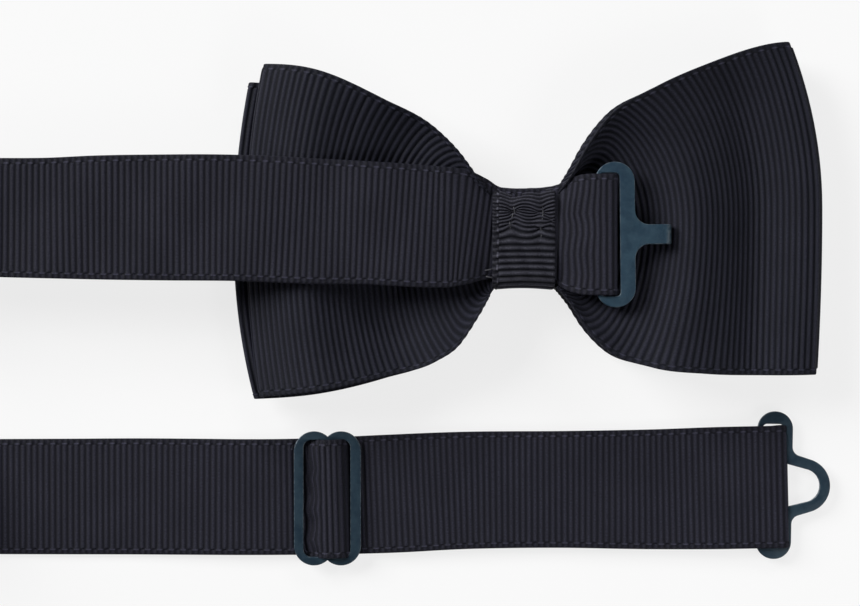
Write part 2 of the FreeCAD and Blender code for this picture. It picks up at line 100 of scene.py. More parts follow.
def ramp(tree, value, low, high, toLow=0.0, toHigh=1.0):
    values = {"Value": value, "From Min": low, "From Max": high, "To Min": toLow, "To Max": toHigh}
    return addNode(tree, "ShaderNodeMapRange", values, interpolation_type="SMOOTHSTEP").outputs["Result"]


def noise(tree, place, scale, detail, roughness=0.5):
    values = {"Vector": place, "Scale": scale, "Detail": detail, "Roughness": roughness}
    return addNode(tree, "ShaderNodeTexNoise", values).outputs["Fac"]


def mixColors(tree, share, first, second, **settings):
    values = {"Factor": share, "A": first, "B": second}
    return addNode(tree, "ShaderNodeMix", values, data_type="RGBA", **settings).outputs["Result"]


def bumpNormal(tree, height, strength, depth):
    values = {"Height": height, "Strength": strength, "Distance": depth}
    return addNode(tree, "ShaderNodeBump", values).outputs["Normal"]


def storedValue(tree, name):
    return addNode(tree, "ShaderNodeAttribute", attribute_name=name).outputs["Fac"]


# ---- cloth texture shared by every ribbon: fine warp yarns over the ribs
ribbonWeave = {"pitch": 1.12, "selvage": 1.0, "yarn": 0.17}      # ribs, edge band and warp yarns, in mm
clothFinish = {"sheen": 0.04, "sheenRoughness": 0.45, "sheenTint": (0.55, 0.56, 0.68), "specular": 0.12,
               "bump": 0.45, "bumpDepth": 0.00012}


def makeYarnGroup():
    group = bpy.data.node_groups.new("ribbon yarns", "ShaderNodeTree")
    # Base is the ribbon's colour, seen in the grooves; the crest colour is a painted highlight on the rib crests
    for name, kind, value in (("Base", "NodeSocketColor", (0.02, 0.02, 0.03, 1)),
                              ("Painted Crest Highlight", "NodeSocketColor", (0.05, 0.05, 0.06, 1)),
                              ("Rib Pitch", "NodeSocketFloat", ribbonWeave["pitch"]),
                              ("Selvage", "NodeSocketFloat", ribbonWeave["selvage"])):
        socket = group.interface.new_socket(name, in_out="INPUT", socket_type=kind)
        socket.default_value = value
    for name, kind in (("Color", "NodeSocketColor"), ("Roughness", "NodeSocketFloat"),
                       ("Height", "NodeSocketFloat")):
        group.interface.new_socket(name, in_out="OUTPUT", socket_type=kind)
    inputs = addNode(group, "NodeGroupInput").outputs
    outputs = addNode(group, "NodeGroupOutput").inputs
    along, across, edge = (storedValue(group, name) for name in ("along", "across", "edge"))
    place = addNode(group, "ShaderNodeCombineXYZ", {"X": along, "Y": across}).outputs[0]
    phase = compute(group, "DIVIDE", along, inputs["Rib Pitch"])
    crest = compute(group, "ABSOLUTE", compute(group, "SINE", compute(group, "MULTIPLY", phase, math.pi)))
    # the warp yarns, slanted on the crests like twisted thread
    slant = compute(group, "MULTIPLY_ADD", crest, 0.10, across)
    turns = compute(group, "MULTIPLY", slant, math.pi / ribbonWeave["yarn"])
    yarn = compute(group, "ABSOLUTE", compute(group, "SINE", turns))
    grain = noise(group, place, 3.1, 5, 0.7)
    cloud = noise(group, place, 0.12, 2)
    # painted highlight on the crests and painted shade in the grooves, speckled with painted glints where yarns
    # catch the light
    lit = compute(group, "MULTIPLY", compute(group, "POWER", crest, 2.0),
                  compute(group, "MULTIPLY_ADD", yarn, 0.35, 0.65))
    lit = compute(group, "MULTIPLY", lit, ramp(group, grain, 0.3, 0.75, 0.45, 1.4))
    lit = compute(group, "MULTIPLY", lit, ramp(group, cloud, 0.3, 0.7, 0.85, 1.1))
    body = ramp(group, edge, compute(group, "SUBTRACT", inputs["Selvage"], 0.15), inputs["Selvage"], 0.6, 1.0)
    lit = compute(group, "MULTIPLY", lit, body)
    # the chain thread shows as light dashes over every second rib, with a dark hole between them
    swing = compute(group, "SINE", compute(group, "MULTIPLY", phase, math.pi))
    offset = compute(group, "SUBTRACT", edge, compute(group, "MULTIPLY_ADD", swing, -0.08, inputs["Selvage"]))
    row = ramp(group, compute(group, "ABSOLUTE", offset), 0.04, 0.2, 1.0, 0.0)
    dash = compute(group, "MULTIPLY", row, ramp(group, swing, -0.15, 0.45))
    hole = compute(group, "MULTIPLY", row, ramp(group, swing, -0.3, -0.75))
    lit = compute(group, "ADD", lit, compute(group, "MULTIPLY", dash, 1.1))
    lit = compute(group, "SUBTRACT", lit, compute(group, "MULTIPLY", hole, 0.8))
    lit = compute(group, "MAXIMUM", compute(group, "MINIMUM", lit, 2.2), 0.0)
    color = mixColors(group, lit, inputs["Base"], inputs["Painted Crest Highlight"], clamp_factor=False)
    height = compute(group, "MULTIPLY_ADD", grain, 0.6, compute(group, "MULTIPLY", yarn, 0.5))
    feedAll(group, outputs, {"Color": color, "Roughness": ramp(group, grain, 0.2, 0.8, 0.72, 0.55),
                             "Height": height})
    return group


yarnGroup = makeYarnGroup()


def newMaterial(name):
    material = bpy.data.materials.new(name)
    material.use_nodes = True
    tree = material.node_tree
    return material, tree, tree.nodes["Principled BSDF"].inputs


def makeCloth(name, base, crest):
    material, tree, shader = newMaterial(name)
    # crest is the colour of the painted highlight on the rib crests
    colors = {"Base": (*base, 1), "Painted Crest Highlight": (*crest, 1)}
    yarns = addNode(tree, "ShaderNodeGroup", colors, node_tree=yarnGroup).outputs
    feedAll(tree, shader, {
        "Base Color": yarns["Color"], "Roughness": yarns["Roughness"],
        "Normal": bumpNormal(tree, yarns["Height"], clothFinish["bump"], clothFinish["bumpDepth"]),
        "Specular IOR Level": clothFinish["specular"], "Sheen Weight": clothFinish["sheen"],
        "Sheen Roughness": clothFinish["sheenRoughness"], "Sheen Tint": (*clothFinish["sheenTint"], 1)})
    return material


# one ribbon in three copies: the bow's copy is darkened as painted shade, the knot's has brighter crests as a
# painted highlight
bandCloth = makeCloth("navy grosgrain band", (0.0030, 0.0032, 0.0064), (0.0210, 0.0210, 0.0335))
bowClothPaintedShade = makeCloth("navy grosgrain bow, painted shade", (0.0020, 0.0025, 0.0054), (0.0158, 0.0162, 0.0270))
knotClothPaintedHighlight = makeCloth("navy grosgrain knot, painted highlight", (0.0026, 0.0028, 0.0054), (0.0380, 0.0380, 0.0510))


steelTones = {"dark": (0.0124, 0.0300, 0.0500), "light": (0.0208, 0.0465, 0.0690),
              "wearAndPaintedHighlight": (0.16, 0.19, 0.21, 1)}


def makeSteel(name, shade):
    # lacquered blue steel, a little cloudy, lighter along the edges as wear and as a painted edge highlight; shade
    # darkens it
    material, tree, shader = newMaterial(name)
    place = addNode(tree, "ShaderNodeTexCoord").outputs["Object"]
    cloud = noise(tree, place, 420, 6, 0.65)
    scratch = noise(tree, place, 1500, 3)
    dark, light = ((*(part * shade for part in steelTones[tone]), 1) for tone in ("dark", "light"))
    tint = mixColors(tree, ramp(tree, cloud, 0.3, 0.7), dark, light)
    # the rim, broken up by scratches, gets a light colour: partly wear, partly a painted highlight
    wearAndPaintedHighlight = compute(tree, "MULTIPLY", storedValue(tree, "rim"), ramp(tree, scratch, 0.42, 0.62), clamp=True)
    feedAll(tree, shader, {
        "Base Color": mixColors(tree, compute(tree, "MULTIPLY", wearAndPaintedHighlight, 0.7), tint, steelTones["wearAndPaintedHighlight"]),
        "Roughness": ramp(tree, cloud, 0.2, 0.8, 0.36, 0.5),
        "Metallic": compute(tree, "MULTIPLY_ADD", wearAndPaintedHighlight, 0.4, 0.2), "Specular IOR Level": 0.3,
        "Normal": bumpNormal(tree, scratch, 0.15, 0.00005)})
    return material


steel = makeSteel("blued steel", 1.0)
# the slider and the eye get a darkened copy of the same steel, as painted shade
steelPaintedShade = makeSteel("blued steel, darkened as painted shade", 0.68)


def makeThread():
    material, tree, shader = newMaterial("sewing thread")
    place = addNode(tree, "ShaderNodeTexCoord").outputs["Object"]
    twist = addNode(tree, "ShaderNodeTexWave", {"Vector": place, "Scale": 1400},
                    bands_direction="DIAGONAL").outputs["Fac"]
    feedAll(tree, shader, {
        "Base Color": mixColors(tree, twist, (0.012, 0.012, 0.017, 1), (0.022, 0.022, 0.030, 1)),
        "Normal": bumpNormal(tree, twist, 0.6, 0.00005), "Roughness": 0.5, "Sheen Weight": 0.1})
    return material


threadCloth = makeThread()
print("materials made")


# ---- Geometry Nodes: the ribs and the chain edge of a grosgrain ribbon
def newGeometryTree(name, numbers, materialInput):
    tree = bpy.data.node_groups.new(name, "GeometryNodeTree")
    tree.interface.new_socket("Geometry", in_out="INPUT", socket_type="NodeSocketGeometry")
    for label, value in numbers.items():
        socket = tree.interface.new_socket(label, in_out="INPUT", socket_type="NodeSocketFloat")
        socket.default_value = value
    tree.interface.new_socket(materialInput, in_out="INPUT", socket_type="NodeSocketMaterial")
    tree.interface.new_socket("Geometry", in_out="OUTPUT", socket_type="NodeSocketGeometry")
    return tree, addNode(tree, "NodeGroupInput").outputs


def endGeometryTree(tree, geometry, material):
    real = addNode(tree, "GeometryNodeRealizeInstances", {"Geometry": geometry})
    finish = addNode(tree, "GeometryNodeSetMaterial", {"Geometry": real.outputs[0], "Material": material})
    feed(tree, finish.outputs[0], addNode(tree, "NodeGroupOutput").inputs["Geometry"])
    return tree


def namedValue(tree, name, kind="FLOAT"):
    return addNode(tree, "GeometryNodeInputNamedAttribute", {"Name": name}, data_type=kind).outputs[0]


def makeRibTree():
    tree, inputs = newGeometryTree("grosgrain ribs", {
        "Rib Pitch": ribbonWeave["pitch"], "Rib Height": 0.2, "Selvage": ribbonWeave["selvage"],
        "Chain Height": 0.1}, "Cloth")
    along, edge = namedValue(tree, "along"), namedValue(tree, "edge")
    phase = compute(tree, "MULTIPLY", compute(tree, "DIVIDE", along, inputs["Rib Pitch"]), math.pi)
    rib = compute(tree, "POWER", compute(tree, "ABSOLUTE", compute(tree, "SINE", phase)), 0.75)
    rib = compute(tree, "SUBTRACT", rib, 0.5)
    body = ramp(tree, edge, compute(tree, "SUBTRACT", inputs["Selvage"], 0.1),
                compute(tree, "ADD", inputs["Selvage"], 0.25))
    # the selvage: the same ribs, lower and half a rib on
    shifted = compute(tree, "ABSOLUTE", compute(tree, "COSINE", phase))
    rim = compute(tree, "MULTIPLY", compute(tree, "SUBTRACT", shifted, 0.6), 0.55)
    rim = compute(tree, "MULTIPLY", rim, compute(tree, "SUBTRACT", 1.0, body))
    # the chain thread rises over every second rib where the selvage meets the body
    swing = compute(tree, "SINE", phase)
    offset = compute(tree, "SUBTRACT", edge, compute(tree, "MULTIPLY_ADD", swing, -0.08, inputs["Selvage"]))
    row = ramp(tree, compute(tree, "ABSOLUTE", offset), 0.0, 0.3, 1.0, 0.0)
    loops = ramp(tree, swing, -0.6, 0.5, -0.6, 1.0)
    chain = compute(tree, "MULTIPLY", compute(tree, "MULTIPLY", row, loops), inputs["Chain Height"])
    profile = compute(tree, "MULTIPLY_ADD", rib, body, rim)
    raised = compute(tree, "MULTIPLY_ADD", profile, inputs["Rib Height"], chain)
    move = addNode(tree, "ShaderNodeVectorMath", operation="SCALE")
    feed(tree, namedValue(tree, "lift", "FLOAT_VECTOR"), move.inputs[0])
    feed(tree, compute(tree, "MULTIPLY", raised, mm), move.inputs["Scale"])
    place = addNode(tree, "GeometryNodeSetPosition", {"Geometry": inputs["Geometry"],
                                                      "Offset": move.outputs[0]})
    return endGeometryTree(tree, place.outputs[0], inputs["Cloth"])


ribTree = makeRibTree()


def smoothFaces(mesh):
    mesh.polygons.foreach_set("use_smooth", [True] * len(mesh.polygons))


def addAttribute(mesh, name, kind, values):
    attribute = mesh.attributes.new(name, kind, "POINT")
    attribute.data.foreach_set("value" if kind == "FLOAT" else "vector", values)


def applyTree(piece, tree, values, spent):
    # run the tree on the piece with its named inputs, and keep the plain mesh without the spent attribute
    modifier = piece.modifiers.new("nodes", "NODES")
    modifier.node_group = tree
    for item in tree.interface.items_tree:
        if item.item_type == "SOCKET" and item.in_out == "INPUT" and item.name in values:
            modifier[item.identifier] = values[item.name]
    graph = bpy.context.evaluated_depsgraph_get()
    mesh = bpy.data.meshes.new_from_object(piece.evaluated_get(graph))
    old = piece.data
    piece.modifiers.clear()
    piece.data = mesh
    mesh.name = piece.name
    bpy.data.meshes.remove(old)
    if spent in mesh.attributes:
        mesh.attributes.remove(mesh.attributes[spent])
    smoothFaces(mesh)


# ---- a ribbon as a closed shell round a surface of points
def unitRows(vectors):
    length = np.linalg.norm(vectors, axis=-1, keepdims=True)
    return vectors / np.maximum(length, 1e-9)


def surfaceNormals(points, closed):
    if closed:
        alongStep = np.roll(points, -1, axis=0) - np.roll(points, 1, axis=0)
    else:
        alongStep = np.gradient(points, axis=0)
    acrossStep = np.gradient(points, axis=1)
    return unitRows(np.cross(alongStep, acrossStep))


def ribbonShell(name, points, along, across, edge, cloth, ribs, core=0.14, closed=False, border=None):
    # points: rows along the ribbon by columns across it, in mm, with the back of the ribbon up;
    # along gives each row's and across and edge give each column's place on the flat ribbon, in mm;
    # border is the distance to the nearest side of the shell, where that isn't a selvage
    rows, columns = points.shape[:2]
    normals = surfaceNormals(points, closed)
    border = edge if border is None else border
    swell = np.sqrt(np.clip(1 - (1 - np.clip(border / 0.3, 0, 1)) ** 2, 0, 1))[:, None]
    back = slice(columns - 2, 0, -1)

    def around(upper, lower):
        # over the top from side to side, and back underneath
        return np.concatenate([upper, lower[:, back]], axis=1)

    ring = around(points + normals * core * swell, points - normals * core * swell)
    count = ring.shape[1]
    index = np.arange(rows * count).reshape(rows, count)
    here = index if closed else index[:-1]
    following = np.roll(index, -1, axis=0) if closed else index[1:]
    quads = np.stack([here, following, np.roll(following, -1, axis=1), np.roll(here, -1, axis=1)], axis=-1)
    faces = quads.reshape(-1, 4).tolist()
    if not closed:
        for row, flip in ((0, False), (rows - 1, True)):
            for column in range(columns - 1):
                a, b = index[row, column], index[row, column + 1]
                c = index[row, (count - column - 1) % count]
                d = index[row, (count - column) % count]
                face = list(dict.fromkeys(int(v) for v in (a, b, c, d)))
                if len(face) > 2:
                    faces.append(face[::-1] if flip else face)
    mesh = bpy.data.meshes.new(name)
    mesh.from_pydata((ring.reshape(-1, 3) * mm).tolist(), [], faces)
    for label, values in (("along", along[:, None]), ("across", across), ("edge", edge)):
        values = np.broadcast_to(values, (rows, columns))
        addAttribute(mesh, label, "FLOAT", around(values, values).reshape(-1).astype(np.float32))
    lift = around(normals * swell, -normals * swell)
    addAttribute(mesh, "lift", "FLOAT_VECTOR", lift.reshape(-1).astype(np.float32))
    piece = addObject(name, mesh)
    applyTree(piece, ribTree, dict(ribs, Cloth=cloth), "lift")
    return piece


def columnsAcross(halfWidth, spacing=1.9):
    # places across a ribbon: close together near both selvages
    near = [0.0, 0.1, 0.3, 0.55, 0.74, 0.88, 1.02, 1.16, 1.32, 1.6]
    steps = max(2, round((halfWidth - near[-1]) / spacing))
    inner = [near[-1] + (halfWidth - near[-1]) * k / steps for k in range(1, steps + 1)]
    edge = np.array(near + inner + inner[-2::-1] + near[::-1])
    half = len(near) + len(inner)
    across = np.array([-halfWidth + e for e in edge[:half]] + [halfWidth - e for e in edge[half:]])
    return across, edge


def hermite(t, start, end, startSlope, endSlope, gap=1):
    return ((2 * t ** 3 - 3 * t ** 2 + 1) * start + (t ** 3 - 2 * t ** 2 + t) * gap * startSlope
            + (-2 * t ** 3 + 3 * t ** 2) * end + (t ** 3 - t ** 2) * gap * endSlope)


def smoothCurve(knots, rowCount):
    # a smooth curve through rows of numbers, evenly spaced along its first three columns;
    # rowCount gives the number of rows for a length
    knots = np.array(knots, float)
    padded = np.vstack([2 * knots[0] - knots[1], knots, 2 * knots[-1] - knots[-2]])
    fine = []
    for k in range(1, len(padded) - 2):
        p0, p1, p2, p3 = padded[k - 1:k + 3]
        t = np.linspace(0, 1, 60, endpoint=False)[:, None]
        gap = [max(np.linalg.norm((b - a)[:3]), 1e-6) for a, b in ((p0, p1), (p1, p2), (p2, p3))]
        m1 = ((p1 - p0) / gap[0] * gap[1] + (p2 - p1)) / 2
        m2 = ((p3 - p2) / gap[2] * gap[1] + (p2 - p1)) / 2
        fine.append(hermite(t, p1, p2, m1, m2))
    fine = np.vstack(fine + [knots[-1:]])
    distance = np.concatenate([[0], np.cumsum(np.linalg.norm(np.diff(fine[:, :3], axis=0), axis=1))])
    marks = np.linspace(0, distance[-1], rowCount(distance[-1]))
    return np.stack([np.interp(marks, distance, fine[:, c]) for c in range(fine.shape[1])], axis=1), marks


def sweptRibbon(name, knots, halfWidth, cloth, pitch=ribbonWeave["pitch"], perRib=5, start=0.0, dress=None,
                **more):
    # knots: x, y, z, roll in degrees, share of the width; dress moves the finished points
    curve, marks = smoothCurve(knots, lambda length: int(round(length / pitch * perRib)) + 1)
    place, roll, share = curve[:, :3], np.radians(curve[:, 3]), curve[:, 4]
    tangent = unitRows(np.gradient(place, axis=0))
    side = np.stack([-tangent[:, 1], tangent[:, 0], np.zeros(len(tangent))], axis=1)
    # in a fold the tangent turns over; the ribbon's side stays put
    for k in range(1, len(side)):
        if np.linalg.norm(side[k]) < 0.35:
            side[k] = side[k - 1]
        elif np.dot(side[k], side[k - 1]) < 0:
            side[k] = -side[k]
    side = unitRows(side)
    up = unitRows(np.cross(tangent, side))
    sideTurned = side * np.cos(roll)[:, None] + up * np.sin(roll)[:, None]
    across, edge = columnsAcross(halfWidth)
    points = place[:, None] + sideTurned[:, None] * across[None, :, None] * share[:, None, None]
    if dress:
        points = dress(points, marks, across)
    return ribbonShell(name, points, marks + start, across, edge, cloth, **more), marks[-1]


strapHalf = 11.1            # half of the 22.2 mm neck-band ribbon
bandRibs = {"Rib Pitch": ribbonWeave["pitch"], "Rib Height": 0.27, "Selvage": ribbonWeave["selvage"],
            "Chain Height": 0.12}
bowRibs = dict(bandRibs, **{"Rib Height": 0.4})


def finishPiece(piece, body, slotName, *nodes):
    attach(piece, body)
    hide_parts(*nodes)


def interpolate(place, rows, column):
    # smooth value of one column of a table whose first column is the place
    table = np.array(rows, float)
    x, y = table[:, 0], table[:, column]
    slope = np.gradient(y, x)
    k = np.clip(np.searchsorted(x, place) - 1, 0, len(x) - 2)
    gap = x[k + 1] - x[k]
    t = np.clip((place - x[k]) / gap, 0, 1)
    return hermite(t, y[k], y[k + 1], slope[k], slope[k + 1], gap)


# ---- the bow: two tiers, each a closed loop of wide ribbon gathered at the waist
# wing outline by distance from the middle: centre line, half height
# wing level by distance from the middle: height between the tiers, thickness of the loop, lift of its
# edges, swing of the layer away from the other tier; lag of the ribs at the upper and lower edge;
# tilt raises a wing's upper edge and lowers its lower one
waist = {"level": [(0, 5.35, 3.9, 0.2, 0), (5.4, 5.35, 3.9, 0.4, 0)], "lag": [(0, 0, 0), (5.4, 0, 0)]}
bowShape = {
    "rearRight": {
        "reach": 55.0, "tilt": 0.0,
        "outline": [(0, -0.5, 7.6), (5.4, -0.6, 8.1), (8.4, -0.5, 11.5), (11.3, -0.1, 16.4), (15.2, 0.6, 21.2),
                    (23, 1.6, 25.3), (32.8, 3.3, 28.2), (46.4, 5.3, 30.6), (55.5, 5.7, 30.9)],
        "level": waist["level"] + [(10.2, 5.8, 2.6, 2.4, 0),
                  (14.5, 5.9, 2.4, 3.5, -0.8), (20.3, 6.3, 2.4, 4.2, -0.2), (26, 6.6, 2.4, 4.2, 0.5),
                  (31, 6.9, 2.4, 4.2, 2.0), (37, 6.7, 2.4, 3.7, 0.4), (43, 6.4, 2.4, 3.0, -2.0),
                  (48, 6.1, 2.4, 2.2, -0.8), (52.5, 5.7, 2.2, 1.2, 0.7), (55, 5.6, 1.8, 0.5, 1.0)],
        "lag": waist["lag"] + [(11.3, 5, 5), (17, 9, 8), (24, 11.3, 7.5), (32, 10.8, 4.2),
                (39, 8.6, 1.8), (55, 5.9, 1.0)],
    },
    "rearLeft": {
        "reach": 51.0, "tilt": 1.5,
        "outline": [(0, -0.5, 7.6), (5.4, -1.1, 8.3), (8.2, -1.8, 12.4), (12.1, -2.1, 17.9), (16, -1.5, 21.2),
                    (25.8, -0.2, 25.4), (38.2, 1.2, 29.4), (48.2, 1.4, 30.7), (51.5, 1.4, 30.9)],
        "level": waist["level"] + [(9.5, 5.8, 2.6, 2.4, 0),
                  (13.4, 6.0, 2.4, 3.5, 0.4), (19, 6.0, 2.4, 4.0, 0.1), (26, 6.1, 2.4, 4.4, -2.0),
                  (34, 6.6, 2.4, 4.0, 0.4), (41, 6.6, 2.4, 2.8, 2.6), (47, 6.0, 2.4, 1.8, 0.9),
                  (51, 5.4, 1.8, 0.5, 0)],
        "lag": waist["lag"] + [(11.3, 5, 4.6), (18, 8.2, 6), (25, 8.8, 5.1), (32, 7, 4),
                (40, 4.8, 3), (51, 3.3, 2.3)],
    },
    "frontRight": {
        "reach": 54.0, "tilt": 0.0,
        "outline": [(0, -0.5, 7.6), (5.4, -0.4, 8.3), (8.4, 0.1, 12.1), (11.3, 0.5, 17.0), (15.2, 1.0, 21.7),
                    (23, 1.9, 25.6), (32.8, 3.3, 28.2), (46.4, 5.0, 30.2), (55, 5.3, 30.5)],
        "level": waist["level"] + [(10.0, 5.8, 2.6, 2.0, 0),
                  (14.0, 6.1, 2.4, 3.2, 0.2), (20.0, 6.8, 2.4, 3.9, 0.3), (32, 6.9, 2.4, 3.8, -0.6),
                  (44, 6.3, 2.4, 2.8, 0.4), (54, 5.4, 1.8, 0.5, 0)],
        "lag": waist["lag"] + [(11.3, 5, 5), (17, 8.5, 7.5), (24, 9.5, 7), (32, 9, 4.5),
                (39, 7.5, 2.5), (54, 5.5, 1.5)],
    },
    "frontLeft": {
        "reach": 53.6, "tilt": 0.0,
        "outline": [(0, -0.5, 7.6), (5.4, -0.9, 8.3), (8.2, -1.5, 12.2), (12.1, -1.9, 17.6), (16, -1.6, 21.0),
                    (25.8, -1.1, 25.0), (38.2, -0.6, 28.4), (50, -0.4, 29.5), (54, -0.4, 29.6)],
        "level": waist["level"] + [(9.9, 5.8, 2.6, 2.0, 0),
                  (14, 6.1, 2.4, 3.2, 0.2), (19.8, 6.8, 2.4, 3.8, 0.3), (31, 6.9, 2.4, 3.6, -0.6),
                  (43, 6.3, 2.4, 2.6, 0.4), (53.6, 5.4, 1.8, 0.5, 0)],
        "lag": waist["lag"] + [(11.3, 5, 4.6), (18, 8, 6), (25, 8.2, 5.1), (32, 6.5, 4.3),
                (40, 4.2, 3.8), (53.6, 2.8, 3.8)],
    },
}
bowSizes = {"halfWidth": 31.4, "foldRadius": 0.62, "layer": 0.22, "tierGap": 0.15, "perRib": 5, "spacing": 2.3}


def wingRoute(wing, step):
    # station and layer of each row from the waist out along the back layer and home along the other one:
    # layer is 1 on the layer away from the other tier and 0 on the one beside it
    radius = bowSizes["foldRadius"]
    straight = wing["reach"] - radius
    out = np.arange(0, straight, step)
    turn = np.linspace(0, math.pi, max(6, round(math.pi * radius / (step * 0.8))))
    station = np.concatenate([out, straight + radius * np.sin(turn), out[::-1]])
    layer = np.concatenate([np.ones(len(out)), (1 + np.cos(turn)) / 2, np.zeros(len(out))])
    return station, layer


def wingPoints(wing, step, share, side, tier):
    # side is +1 for the right wing and -1 for the left; tier is +1 for the rear and -1 for the front one
    station, layer = wingRoute(wing, step)
    if side < 0:
        station, layer = station[::-1], layer[::-1]
    lagTop = interpolate(station, wing["lag"], 1)[:, None]
    lagLow = interpolate(station, wing["lag"], 2)[:, None]
    v = share[None]
    x = station[:, None] - (lagTop - lagLow) / 2 * v * np.abs(v) - (lagTop + lagLow) / 2 * v ** 2
    y = interpolate(x, wing["outline"], 1) + v * interpolate(x, wing["outline"], 2)
    middle, thick, lift, swing = (interpolate(station, wing["level"], c)[:, None] for c in (1, 2, 3, 4))
    inner = middle + tier * (bowSizes["tierGap"] + bowSizes["layer"])
    gap = thick - 2 * bowSizes["layer"]
    swing = swing * (0.3 + 0.7 * layer[:, None])
    tilt = wing["tilt"] * np.clip((station - 8) / 14, 0, 1)[:, None]
    rise = lift * (v ** 2 + v ** 4) / 2 + swing * (1 - 0.25 * v - 0.4 * v ** 2) + tilt * v
    z = inner + tier * (gap * layer[:, None] + rise)
    return np.stack([side * x, y, z + 0 * x], axis=-1)


def bowLoop(name, right, left, tier):
    step = bowRibs["Rib Pitch"] / bowSizes["perRib"]
    across, edge = columnsAcross(bowSizes["halfWidth"], bowSizes["spacing"])
    share = across / bowSizes["halfWidth"]
    leftPoints = wingPoints(bowShape[left], step, share, -1, tier)
    points = np.concatenate([wingPoints(bowShape[right], step, share, 1, tier), leftPoints[1:-1]])
    middle = points[:, len(across) // 2]
    steps = np.linalg.norm(np.diff(middle, axis=0), axis=1)
    along = np.concatenate([[0], np.cumsum(steps)])
    total = along[-1] + np.linalg.norm(middle[0] - middle[-1])
    if tier < 0:
        points, along = points[::-1], along[::-1]
    # a whole number of ribs goes round the loop
    pitch = bowRibs["Rib Pitch"]
    along = along * round(total / pitch) * pitch / total
    return ribbonShell(name, points, along, across, edge, bowClothPaintedShade, bowRibs, closed=True), total


for name, right, left, tier in (("rearBowLoop", "rearRight", "rearLeft", 1),
                                ("frontBowLoop", "frontRight", "frontLeft", -1)):
    piece, length = bowLoop(name, right, left, tier)
    finishPiece(piece, "root", "grosgrain", "rear_bow_loop" if tier > 0 else "front_bow_loop")
    print(name, "loop of", round(length, 1), "mm")

# ---- the knot: one turn of ribbon round the waist, with its selvage on the left and a fold on the right
knotShape = {"left": -5.8, "right": 5.7, "halfDepth": 5.75, "halfLength": 9.1, "middleZ": 6.05, "corner": 2.9,
             "core": 0.2, "pitch": ribbonWeave["pitch"], "perRib": 9, "extraRibs": 6}
# where the closing stitches pull the ribs together: x, y, pull, reach across the ribs, depth
knotPinches = [(-2.0, 4.6, 0.8, 2.3, 0.8), (-2.5, 2.3, 0.5, 1.4, 0.5), (2.9, 4.6, 0.75, 1.9, 0.7),
               (3.0, 1.6, 0.65, 1.5, 0.6), (-1.6, 7.4, 0.35, 2.2, 0.5), (4.9, 3.1, 0.5, 1.1, 0.3)]


def makeKnot():
    k = knotShape
    straightY, straightZ = k["halfLength"] - k["corner"], k["halfDepth"] - k["corner"]
    corners = [(straightY, straightZ, 0), (-straightY, straightZ, 90), (-straightY, -straightZ, 180),
               (straightY, -straightZ, 270)]
    ring = []
    for y, z, start in corners:
        for angle in np.radians(np.linspace(start, start + 90, 10)):
            ring.append((y + k["corner"] * math.cos(angle), z + k["corner"] * math.sin(angle)))
    ring = np.array(ring + ring[:1])
    distance = np.concatenate([[0], np.cumsum(np.linalg.norm(np.diff(ring, axis=0), axis=1))])
    total = distance[-1]
    ribs = round(total / k["pitch"]) + k["extraRibs"]
    marks = np.linspace(0, total, ribs * k["perRib"], endpoint=False)
    y = np.interp(marks, distance, ring[:, 0])
    z = np.interp(marks, distance, ring[:, 1])
    width = k["right"] - k["left"]
    near = [0.0, 0.1, 0.3, 0.6, 0.85, 1.05, 1.3, 1.6]
    middle = list(np.linspace(1.95, width - 0.9, 26))
    along = np.array(near + middle + [width - 0.55, width - 0.3, width - 0.1, width])
    x = k["left"] + along
    points = np.zeros((len(marks), len(x), 3))
    points[..., 0] = x[None]
    # the sides of the ring are drawn in between the selvage and the fold
    waist = 1 - 0.035 * np.sin(np.pi * along / width)[None]
    points[..., 1] = y[:, None] * waist
    points[..., 2] = z[:, None] + k["middleZ"]
    back = np.clip((z[:, None] - 1.0) / 2.0, 0, 1)
    # the back is uneven
    points[..., 2] += 0.12 * np.sin(1.9 * points[..., 0] + 0.6 * points[..., 1]) * back
    for px, py, pull, reach, depth in knotPinches:
        dx, dy = points[..., 0] - px, points[..., 1] - py
        fall = np.exp(-(dx / (0.75 * reach)) ** 2 - (dy / (1.25 * reach)) ** 2) * back
        points[..., 1] -= dy * pull * fall
        points[..., 0] -= dx * pull * 0.25 * fall
        points[..., 2] -= depth * np.exp(-(dx ** 2 + dy ** 2) / (0.45 * reach) ** 2) * back
    border = np.minimum(along, width - along)
    # the ribs crowd together where the stitches gather the upper half of the back
    crowd = 1 + 0.8 * np.clip((y - 0.5) / 2.0, 0, 1) * (z > 0)
    ringLengths = np.cumsum(crowd)
    ringLengths = ringLengths * ribs * k["pitch"] / ringLengths[-1]
    ribSizes = dict(bandRibs, **{"Rib Height": 0.52, "Selvage": 0.95, "Chain Height": 0.3})
    piece = ribbonShell("knotWrap", points, ringLengths, x, along, knotClothPaintedHighlight, ribSizes, core=k["core"],
                        closed=True, border=border)
    finishPiece(piece, "root", "grosgrain", "knot_wrap")
    return total


print("knot of", round(makeKnot(), 1), "mm")

# ---- neck band, the part fixed to the bow: fold at the hook, through the knot, out to the left, a twist,
# a half turn on edge, and back along the lower run
foldRadius = 0.925
hookFold = {"start": 8.5, "middle": 15.95, "y": 0.5, "z": 12.05}
bandRun = {"twistStart": -104.0, "turnX": -136.0, "upperY": 3.7, "lowerY": -48.45, "upperZ": 12.3}


def foldKnots(x, y, z, radius, low=True, steps=6):
    # round a bar, from the lower leg to the upper one
    angles = np.radians(np.linspace(-90, 90, steps + 1))
    knots = [(x + radius * math.cos(a), y, z + radius * math.sin(a), 0, 1) for a in angles]
    return knots if low else knots[::-1]


